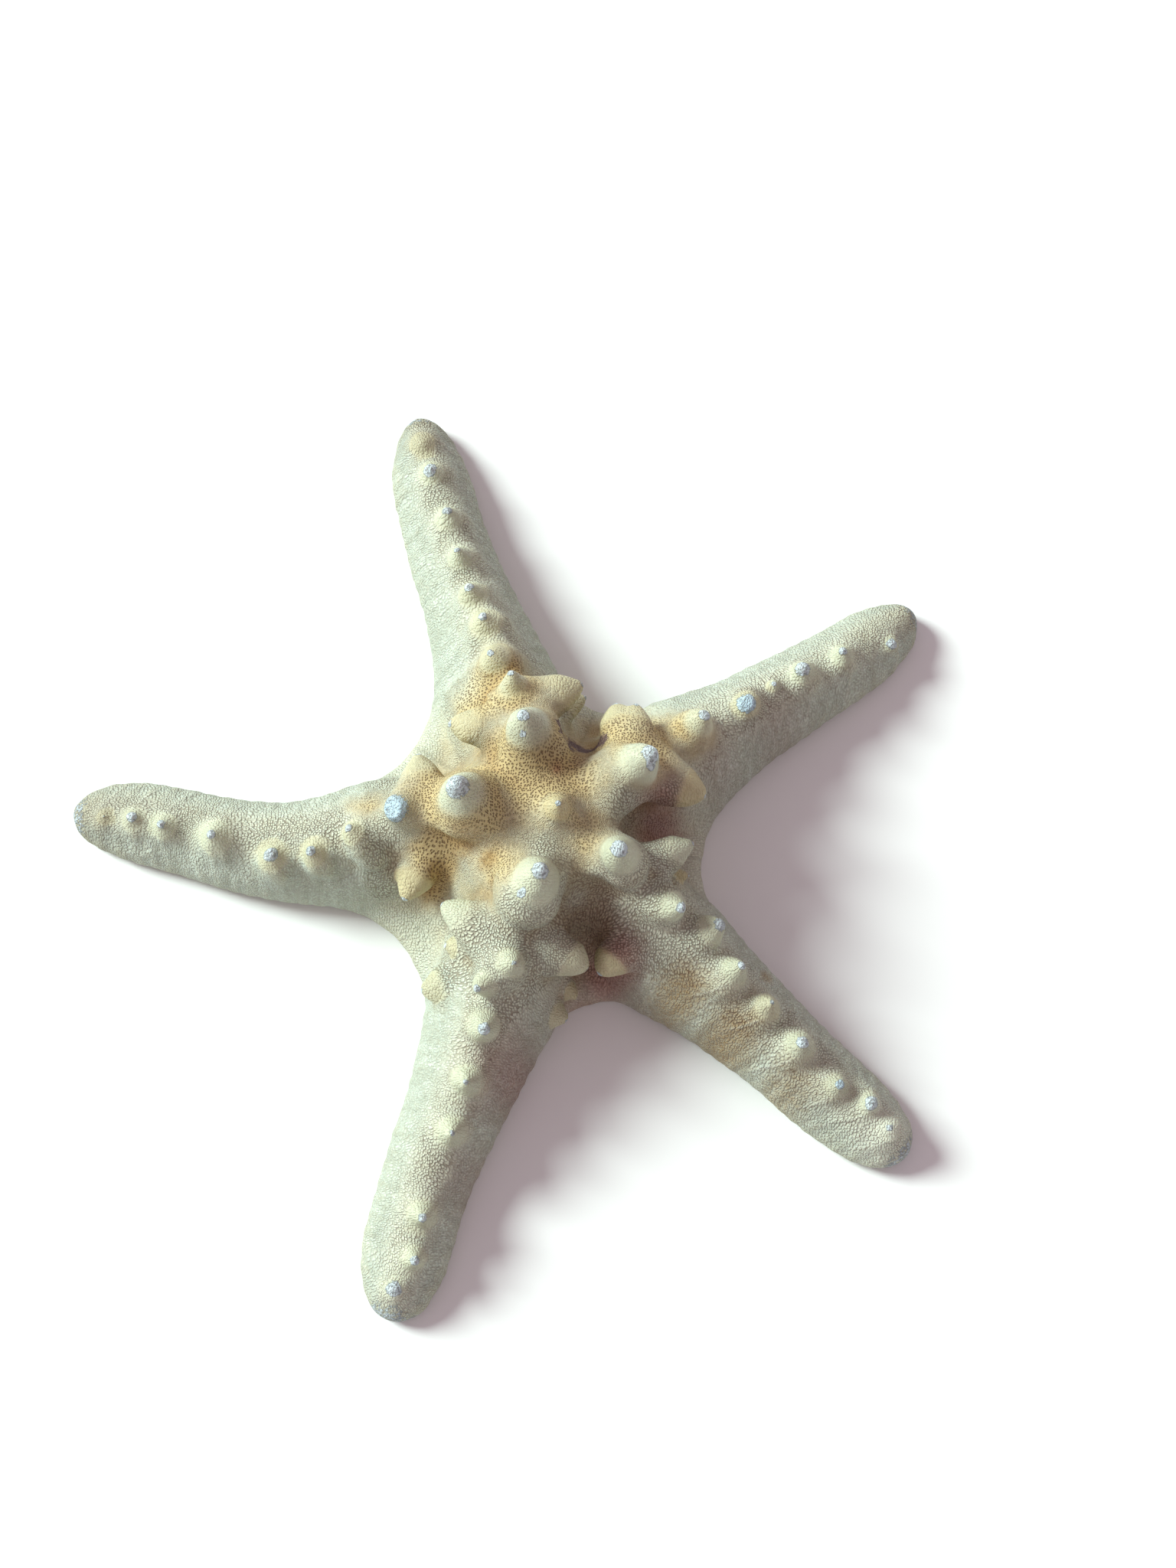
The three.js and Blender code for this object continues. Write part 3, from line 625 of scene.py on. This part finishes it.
lumps = grain(points, 9, 1) * 0.28 + grain(points, 3.2, 2) * (0.1 + 0.16 * climb)
lace = grain(points, 1.7, 4) * (0.05 + 0.06 * flank)
bandWave = np.sin((along + 0.5 * np.abs(across)) * 2 * math.pi / 2.7 + 2.2 * grain(points, 5, 3))
offset = (lumps + lace * (1 - climb) + 0.06 * bandWave * flank + 0.08 * seam) * (1 - under)
# the cracks: a shallow dent, with painted shade in it
crackShade = patchMap("crackShade") * step(12, 15, points[:, 2])
offset = offset - 0.25 * crackShade
for x, y, size, depth in body["valleys"]:
    away = np.hypot(points[:, 0] - x, points[:, 1] - y) / size
    offset = offset - depth * np.exp(-away ** 2) * (1 - climb) * step(4, 12, points[:, 2])
points = points + normals * offset[:, None]
for spot, root, tip in tubercles:      # the disc swells under its big cones
    if kindOf(spot) == "crown":
        away = np.hypot(points[:, 0] - root.x, points[:, 1] - root.y) / body["mound"][0]
        points[:, 2] += body["mound"][1] * np.exp(-away ** 2) * step(8, 16, points[:, 2])

# broken tops are planed flat
for spot, root, tip in tubercles:
    if "cut" not in spot:
        continue
    axis = np.array((tip - root).normalized())
    height = (tip - root).length
    rel = points - np.array(root)
    up = rel @ axis
    away = np.linalg.norm(rel - up[:, None] * axis, axis=1)
    over = np.where((away < spot["width"] * 0.5) & (up > height * spot["cut"]) & (up < height + 2),
                    up - height * spot["cut"], 0)
    points = points - axis * (over * (1 if spot["cut"] < 0.8 else 0.7))[:, None]

# underside: the mouth, and furrows with a row of low bumps on either side
mouth = {
    "radius": 5.5,
    "depth": 3.2,
    "furrow": 2.0,         # half width at the mouth, then at the tip
    "furrowTip": 0.9,
    "depthShare": 0.95,
    "beadPitch": 1.7,
    "beadHeight": 0.45,
}
furrowHalf = np.interp(along, [2, 75], [mouth["furrow"], mouth["furrowTip"]])
toEnd = np.array([arm["reach"] for arm in arms])[which] - along
inFurrow = np.clip(1 - (across / furrowHalf) ** 2, 0, 1) * step(-1, 2, along) * step(5, 8, toEnd)
furrowDepth = np.sqrt(inFurrow) * furrowHalf * mouth["depthShare"]
mouthDepth = np.sqrt(np.clip(1 - (radius / mouth["radius"]) ** 2, 0, 1)) * mouth["depth"]
beadRow = np.exp(-((np.abs(across) - furrowHalf - 0.9) / 0.6) ** 2)
beads = beadRow * (0.5 + 0.5 * np.cos(along * 2 * math.pi / mouth["beadPitch"])) * step(4, 7, along)
lowSide = (normals[:, 2] < -0.3) & (points[:, 2] < 2.5)
betweenBeads = mouth["beadHeight"] * (1 - beads) * step(0.98, 0.7, np.abs(share)) * step(2, 8, radius)
lift = np.maximum(furrowDepth, mouthDepth) + betweenBeads
points[:, 2] = np.where(lowSide, points[:, 2] + lift, points[:, 2])
points[:, 2] = np.maximum(points[:, 2], 0)
writeMesh(starMesh, points)

normals = normalsOf(starMesh)
wide = relax(points, edges, smoothing["wideRounds"], smoothing["wideShare"])
hollow = np.clip(((wide - points) * normals).sum(1) / smoothing["hollowDepth"], -1, 1)

armEnd = step(12, 3, toEnd)
chalk = np.maximum(chalk, step(5, 0.5, toEnd) * 0.6)
for x, y, size in patches["wornSpots"]:   # second worn spots, half way down a cone
    away = np.hypot(points[:, 0] - x, points[:, 1] - y)
    chalk = np.maximum(chalk, step(size * 1.5, size * 0.6, away) * (climb > 0.3))
armStride = 100      # mm between the arms' places in the banding, so that no two arms look alike
skinMaps = {
    "climb": climb, "wax": wax, "chalk": chalk, "under": under, "hollow": hollow, "flank": flank,
    "pore": pore, "alongArm": along + armStride * which, "acrossArm": across, "seam": seam,
    "armEnd": armEnd, "crackShade": crackShade, "broken": broken, "warm": patchMap("warm"),
    # painted shade, kept off the tubercles
    "amber": patchMap("amber"), "paintedCleftShade": patchMap("paintedCleftShade") * (1 - climb),
    "dusk": patchMap("dusk"), "litAndWornEnds": patchMap("litAndWornEnds"),
}
for name, values in skinMaps.items():
    layer = starMesh.attributes.new(name, "FLOAT", "POINT")
    layer.data.foreach_set("value", values.astype(np.float32))
facing = starMesh.attributes.new("facing", "FLOAT_VECTOR", "POINT")
facing.data.foreach_set("vector", normals.astype(np.float32).ravel())

low, high = points.min(0), points.max(0)
shift = np.array([(cadLow.x + cadHigh.x) * 500 - (low[0] + high[0]) / 2,
                  (cadLow.y + cadHigh.y) * 500 - (low[1] + high[1]) / 2, cadLow.z * 1000 - low[2]])
writeMesh(starMesh, (points + shift) / 1000)
print("shift in mm:", [round(float(v), 2) for v in shift])
seaStar = bpy.data.objects.new("seaStar", starMesh)
bpy.context.scene.collection.objects.link(seaStar)


# ---- the finish

def colour(red, green, blue):
    # screen colour, 0 to 255, as Blender's linear colour
    return tuple(((c / 255 + 0.055) / 1.055) ** 2.4 if c > 10 else c / 255 / 12.92
                 for c in (red, green, blue)) + (1,)


class Wire:
    # a socket of a finish, which takes part in sums
    def __init__(self, board, socket):
        self.board = board
        self.socket = socket

    def __add__(self, other):
        return self.board.maths("ADD", self, other)

    def __sub__(self, other):
        return self.board.maths("SUBTRACT", self, other)

    def __mul__(self, other):
        return self.board.maths("MULTIPLY", self, other)

    def __radd__(self, other):
        return self.board.maths("ADD", other, self)

    def __rsub__(self, other):
        return self.board.maths("SUBTRACT", other, self)

    def __rmul__(self, other):
        return self.board.maths("MULTIPLY", other, self)


class Board:
    # the node board of one finish
    def __init__(self, name):
        self.material = bpy.data.materials.new(name)
        self.material.use_nodes = True
        self.nodes = self.material.node_tree.nodes
        self.nodes.clear()

    def node(self, kind, settings=None, sockets=None, out=0):
        made = self.nodes.new("ShaderNode" + kind)
        for key, value in (settings or {}).items():
            setattr(made, key, value)
        for key, value in (sockets or {}).items():
            if isinstance(value, Wire):
                self.material.node_tree.links.new(value.socket, made.inputs[key])
            else:
                made.inputs[key].default_value = value
        return Wire(self, made.outputs[out]) if made.outputs else made

    def maths(self, operation, a, b):
        return self.node("Math", {"operation": operation}, {0: a, 1: b})

    def vector(self, operation, a, b):
        return self.node("VectorMath", {"operation": operation}, {0: a, 1: b})

    def scaled(self, a, factor):
        return self.node("VectorMath", {"operation": "SCALE"}, {0: a, 3: factor})

    def ramp(self, value, low, high, start=0.0, end=1.0):
        return self.node("MapRange", {"interpolation_type": "SMOOTHSTEP"},
                         {0: value, 1: low, 2: high, 3: start, 4: end})

    def blend(self, factor, a, b, how="MIX"):
        return self.node("Mix", {"data_type": "RGBA", "blend_type": how}, {0: factor, 6: a, 7: b}, out=2)

    def attribute(self, name, out=2):
        return self.node("Attribute", {"attribute_name": name}, out=out)

    def split(self, vector):
        made = self.node("SeparateXYZ", None, {0: vector})
        return [Wire(self, socket) for socket in made.socket.node.outputs]

    def joined(self, x, y, z):
        return self.node("CombineXYZ", None, {0: x, 1: y, 2: z})

    def mixed(self, factor, a, b):
        return self.node("Mix", {"data_type": "FLOAT"}, {0: factor, 2: a, 3: b})

    def noise(self, vector, scale, detail=2.0, rough=0.5, out=0):
        sockets = {"Vector": vector, "Scale": scale, "Detail": detail, "Roughness": rough}
        return self.node("TexNoise", None, sockets, out)

    def cells(self, vector, scale, random):
        return self.node("TexVoronoi", {"voronoi_dimensions": "2D"},
                         {"Vector": vector, "Scale": scale, "Randomness": random})

    def skinCells(self, place, facing, scale, random):
        # flat cells laid on from above and from the sides, so that they stay even all round
        x, y, z = self.split(place)
        nx, ny, nz = (self.maths("ABSOLUTE", n, 0.0) for n in self.split(facing))
        top, front, side = (self.cells(self.joined(a, b, 0.0), scale, random)
                            for a, b in ((x, y), (x, z), (y, z)))
        upright = self.ramp(nz, 0.42, 0.56)
        return self.mixed(upright, self.mixed(self.ramp(nx - ny, -0.1, 0.1), front, side), top)


skinFinish = {
    "porePitch": 0.44,            # mm between pores, or between grains
    "tanGrain": colour(200, 184, 136),
    "paleGrain": colour(214, 220, 198),
    "poreTan": colour(112, 80, 54),
    "porePale": colour(134, 126, 108),
    "crestPale": colour(206, 206, 174),
    "amberStain": colour(176, 146, 92),
    "flankPale": colour(212, 226, 210),
    "flankDull": colour(182, 192, 174),
    "tipGrey": colour(160, 172, 160),
    # the pale of seams and lace, also the painted light on arm ends
    "seamAndLitWhite": colour(214, 220, 202),
    "waxCream": colour(196, 204, 180),
    "waxAmber": colour(196, 178, 124),
    "chalkWhite": colour(200, 214, 216),
    "chalkPit": colour(138, 138, 134),
    "brokenBlue": colour(186, 212, 222),
    # purple-brown painted shade for the clefts and flanks that lie in shade
    "violetPaintedShade": colour(212, 156, 162),
    # painted shade for hollows
    "paintedHollowShade": colour(220, 200, 180),
    # a soft darkening, which in the disc's middle is painted shade
    "duskShade": colour(198, 186, 182),
    # painted shade in the cracks
    "crackPaintedShade": colour(84, 60, 76),
    "roughSkin": 0.8,
    "roughWax": 0.5,
}


def starSkin():
    f = skinFinish
    b = Board("starSkin")
    here = b.scaled(b.node("TexCoord", out=3), 1000.0)   # millimetres
    facing = b.attribute("facing", out=1)
    climb, waxShare, chalkShare = b.attribute("climb"), b.attribute("wax"), b.attribute("chalk")
    hollow, flank, poreMap, seam = (b.attribute(name) for name in ("hollow", "flank", "pore", "seam"))
    warm, amber, paintedCleftShade = b.attribute("warm"), b.attribute("amber"), b.attribute("paintedCleftShade")

    drift = b.vector("SUBTRACT", b.noise(here, 0.11, 1.0, out=1), (0.5, 0.5, 0.5))
    quiver = b.vector("SUBTRACT", b.noise(here, 0.6, 1.0, out=1), (0.5, 0.5, 0.5))
    flowing = b.vector("ADD", here, b.vector("ADD", b.scaled(drift, 3.0), b.scaled(quiver, 0.25)))
    pores = b.skinCells(flowing, facing, 1 / f["porePitch"], 0.75)
    ragged = b.noise(here, 1.1, 3.0)
    broad = b.noise(here, 0.16, 3.0)
    fine = b.noise(here, 3.2, 2.0)

    onSkin = b.ramp(climb + (ragged - 0.5) * 0.5, 0.1, 0.7, 1.0, 0.0)
    grit = b.noise(here, 2.4, 3.0, 0.6)
    poreShare = onSkin * b.ramp(poreMap + (ragged - 0.5) * 0.6, 0.2, 0.8, 0.32, 1.0)
    poreShare = poreShare * (1 - b.attribute("under") * 0.6)

    warmth = b.ramp(warm + (broad - 0.5) * 0.7, 0.15, 0.75)
    # tan skin has dark pores, pale skin has raised grains with dark gaps between them
    pit = b.mixed(warmth, b.ramp(pores, 0.24, 0.6), b.ramp(pores, 0.12, 0.38, 1.0, 0.0))
    grainTone = b.blend(warmth, f["paleGrain"], f["tanGrain"])
    stain = b.ramp(amber + (ragged - 0.5) * 0.4, 0.2, 0.9)
    grainTone = b.blend(stain, grainTone, f["amberStain"])
    poreTone = b.blend(b.ramp(warmth + stain, 0.0, 1.0), f["porePale"], f["poreTan"])
    lengthwise = b.joined(b.attribute("alongArm"), b.attribute("acrossArm") * 0.35, 0.0)
    bands = b.noise(lengthwise, 0.6, 3.0)
    dull = b.blend(b.ramp(bands * 0.5 + ragged * 0.3 + fine * 0.2, 0.4, 0.62), f["flankPale"], f["flankDull"])
    dull = b.blend(b.ramp(b.noise(here, 1.7, 3.0), 0.42, 0.6) * 0.3, dull, f["seamAndLitWhite"])
    dull = b.blend(stain * 0.85, dull, f["amberStain"])
    dull = b.blend(pit * 0.4, dull, f["flankDull"])
    dull = b.blend(b.attribute("armEnd") * 0.35, dull, f["tipGrey"])
    dull = b.blend(b.ramp(grit, 0.4, 0.6) * 0.3, dull, f["flankDull"])
    bare = b.blend(flank, grainTone, dull)
    bare = b.blend(b.ramp(hollow, -0.05, -0.6) * 0.45, bare, f["crestPale"])
    bare = b.blend(b.ramp(b.noise(here, 1.9, 2.0), 0.35, 0.65) * 0.13, bare, poreTone)
    pored = b.blend(pit * poreShare * (0.25 + ragged * 0.9), bare, poreTone)
    pored = b.blend(b.ramp(seam, 0.3, 0.8) * 0.6, pored, f["seamAndLitWhite"])
    cone = b.blend(waxShare, f["waxCream"], f["waxAmber"])
    cone = b.blend(b.ramp(climb, 0.3, 1.0) * 0.5, cone, b.blend(0.6, cone, f["waxCream"]))
    skin = b.blend(b.ramp(climb + (ragged - 0.5) * 0.3, 0.05, 0.95), pored, cone)
    # painted shade: purple-brown multiplied into the clefts and flanks that lie in shade
    skin = b.blend(b.ramp(paintedCleftShade + (ragged - 0.5) * 0.2, 0.0, 1.0) * 0.85, skin, f["violetPaintedShade"], "MULTIPLY")
    # painted shade: hollows darkened
    skin = b.blend(b.ramp(hollow, 0.0, 0.7) * 0.75, skin, f["paintedHollowShade"], "MULTIPLY")
    # paler arm ends: painted light on those pointing down and to the lower right, worn pale on the others
    skin = b.blend(b.ramp(b.attribute("litAndWornEnds") + (grit - 0.5) * 1.2, 0.3, 0.9) * 0.7, skin, f["seamAndLitWhite"])
    # a soft darkening, which in the disc's middle is painted shade
    skin = b.blend(b.attribute("dusk"), skin, f["duskShade"], "MULTIPLY")
    # painted shade in the cracks
    crackShade = b.ramp(b.attribute("crackShade") + (b.noise(here, 1.0, 3.0) - 0.5) * 1.5, 0.3, 0.6)
    skin = b.blend(crackShade * (0.75 + pit * 0.25), skin, f["crackPaintedShade"])
    crumble = b.noise(here, 1.5, 4.0, 0.65)
    crust = b.ramp(chalkShare + (crumble - 0.5) * 1.5, 0.48, 0.66)
    speck = b.ramp(b.noise(here, 2.1, 3.0), 0.5, 0.72)
    chalk = b.blend(speck * 0.5, f["chalkWhite"], f["chalkPit"])
    chalk = b.blend(b.attribute("broken"), chalk, b.blend(speck * 0.3, f["brokenBlue"], f["chalkWhite"]))
    final = b.blend(crust, skin, chalk)

    height = (1 - pit * (0.4 + 0.6 * poreShare)) + ragged * 0.5 + fine * 0.25
    height = height + crust * (1.2 - speck * 1.2) + seam * 0.8
    height = height + (1 - poreShare) * onSkin * (grit * 1.3 + bands * 0.6)
    bump = b.node("Bump", None, {"Strength": 1.0, "Distance": 0.0003, "Height": height})
    rough = b.ramp(climb, 0.3, 0.8, f["roughSkin"], f["roughWax"]) + crust * 0.2
    shader = b.node("BsdfPrincipled", None, {
        "Base Color": final, "Roughness": rough, "Normal": bump,
        "Subsurface Weight": 0.12, "Subsurface Radius": (1.0, 0.7, 0.45), "Subsurface Scale": 0.0012,
        "Specular IOR Level": 0.35,
    })
    b.node("OutputMaterial", None, {"Surface": shader})
    return b.material


starMesh.materials.clear()
starMesh.materials.append(starSkin())
for face in starMesh.polygons:
    face.use_smooth = True
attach(seaStar, "root")
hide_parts("starfish")
print("sea star finished")


# ---- floor, light and camera

studio = {
    "floorColour": colour(246, 251, 249),
    "floorRadius": 5.0,
    "keyPlace": (-8.0, 3.04, 5.84),  # metres
    "keySize": 4.0,
    "keyPower": 1650,
    "keyColour": (0.9, 1.0, 0.96),
    "roomColour": (1.0, 0.79, 0.86),
    "roomStrength": 0.44,
    "wallColour": colour(250, 251, 250),
    "eye": (-21.86, -113.17, 434.67),  # millimetres, and the floor point it looks at
    "aim": (14.50, 12.90, 0.0),
    "lens": 60.1,
}


def makeStudio():
    s = studio
    ground = bmesh.new()
    bmesh.ops.create_circle(ground, cap_ends=True, segments=96, radius=s["floorRadius"])
    mesh = bpy.data.meshes.new("floor")
    ground.to_mesh(mesh)
    ground.free()
    floor = bpy.data.objects.new("floor", mesh)
    bpy.context.scene.collection.objects.link(floor)
    b = Board("paleFloor")
    shader = b.node("BsdfPrincipled", None, {"Base Color": s["floorColour"], "Roughness": 0.9})
    b.node("OutputMaterial", None, {"Surface": shader})
    mesh.materials.append(b.material)

    lamp = bpy.data.lights.new("key", "AREA")
    lamp.shape = "DISK"
    lamp.size = s["keySize"]
    lamp.energy = s["keyPower"]
    lamp.color = s["keyColour"]
    key = bpy.data.objects.new("key", lamp)
    key.location = s["keyPlace"]
    key.rotation_euler = (-Vector(s["keyPlace"])).to_track_quat("-Z", "Y").to_euler()
    bpy.context.scene.collection.objects.link(key)

    world = bpy.data.worlds.new("room")
    world.use_nodes = True
    sky = world.node_tree
    glow = sky.nodes["Background"]                 # what lights the star, and the pale wall behind it
    glow.inputs[0].default_value = s["roomColour"] + (1,)
    glow.inputs[1].default_value = s["roomStrength"]
    wall = sky.nodes.new("ShaderNodeBackground")
    wall.inputs[0].default_value = s["wallColour"]
    rays = sky.nodes.new("ShaderNodeLightPath")
    both = sky.nodes.new("ShaderNodeMixShader")
    sky.links.new(rays.outputs["Is Camera Ray"], both.inputs[0])
    sky.links.new(glow.outputs[0], both.inputs[1])
    sky.links.new(wall.outputs[0], both.inputs[2])
    sky.links.new(both.outputs[0], sky.nodes["World Output"].inputs[0])
    bpy.context.scene.world = world

    lens = bpy.data.cameras.new("camera")
    lens.lens = s["lens"]
    lens.sensor_width = 36
    lens.clip_start, lens.clip_end = 0.01, 20
    camera = bpy.data.objects.new("camera", lens)
    eye, aim = Vector(s["eye"]) / 1000, Vector(s["aim"]) / 1000
    ahead = (aim - eye).normalized()
    right = ahead.cross(Vector((0, 1, 0))).normalized()
    turn = Matrix((right, right.cross(ahead), -ahead)).transposed()
    camera.matrix_world = Matrix.Translation(eye) @ turn.to_4x4()
    bpy.context.scene.collection.objects.link(camera)
    bpy.context.scene.camera = camera
    bpy.context.scene.view_settings.view_transform = "Standard"


makeStudio()
print("studio ready")
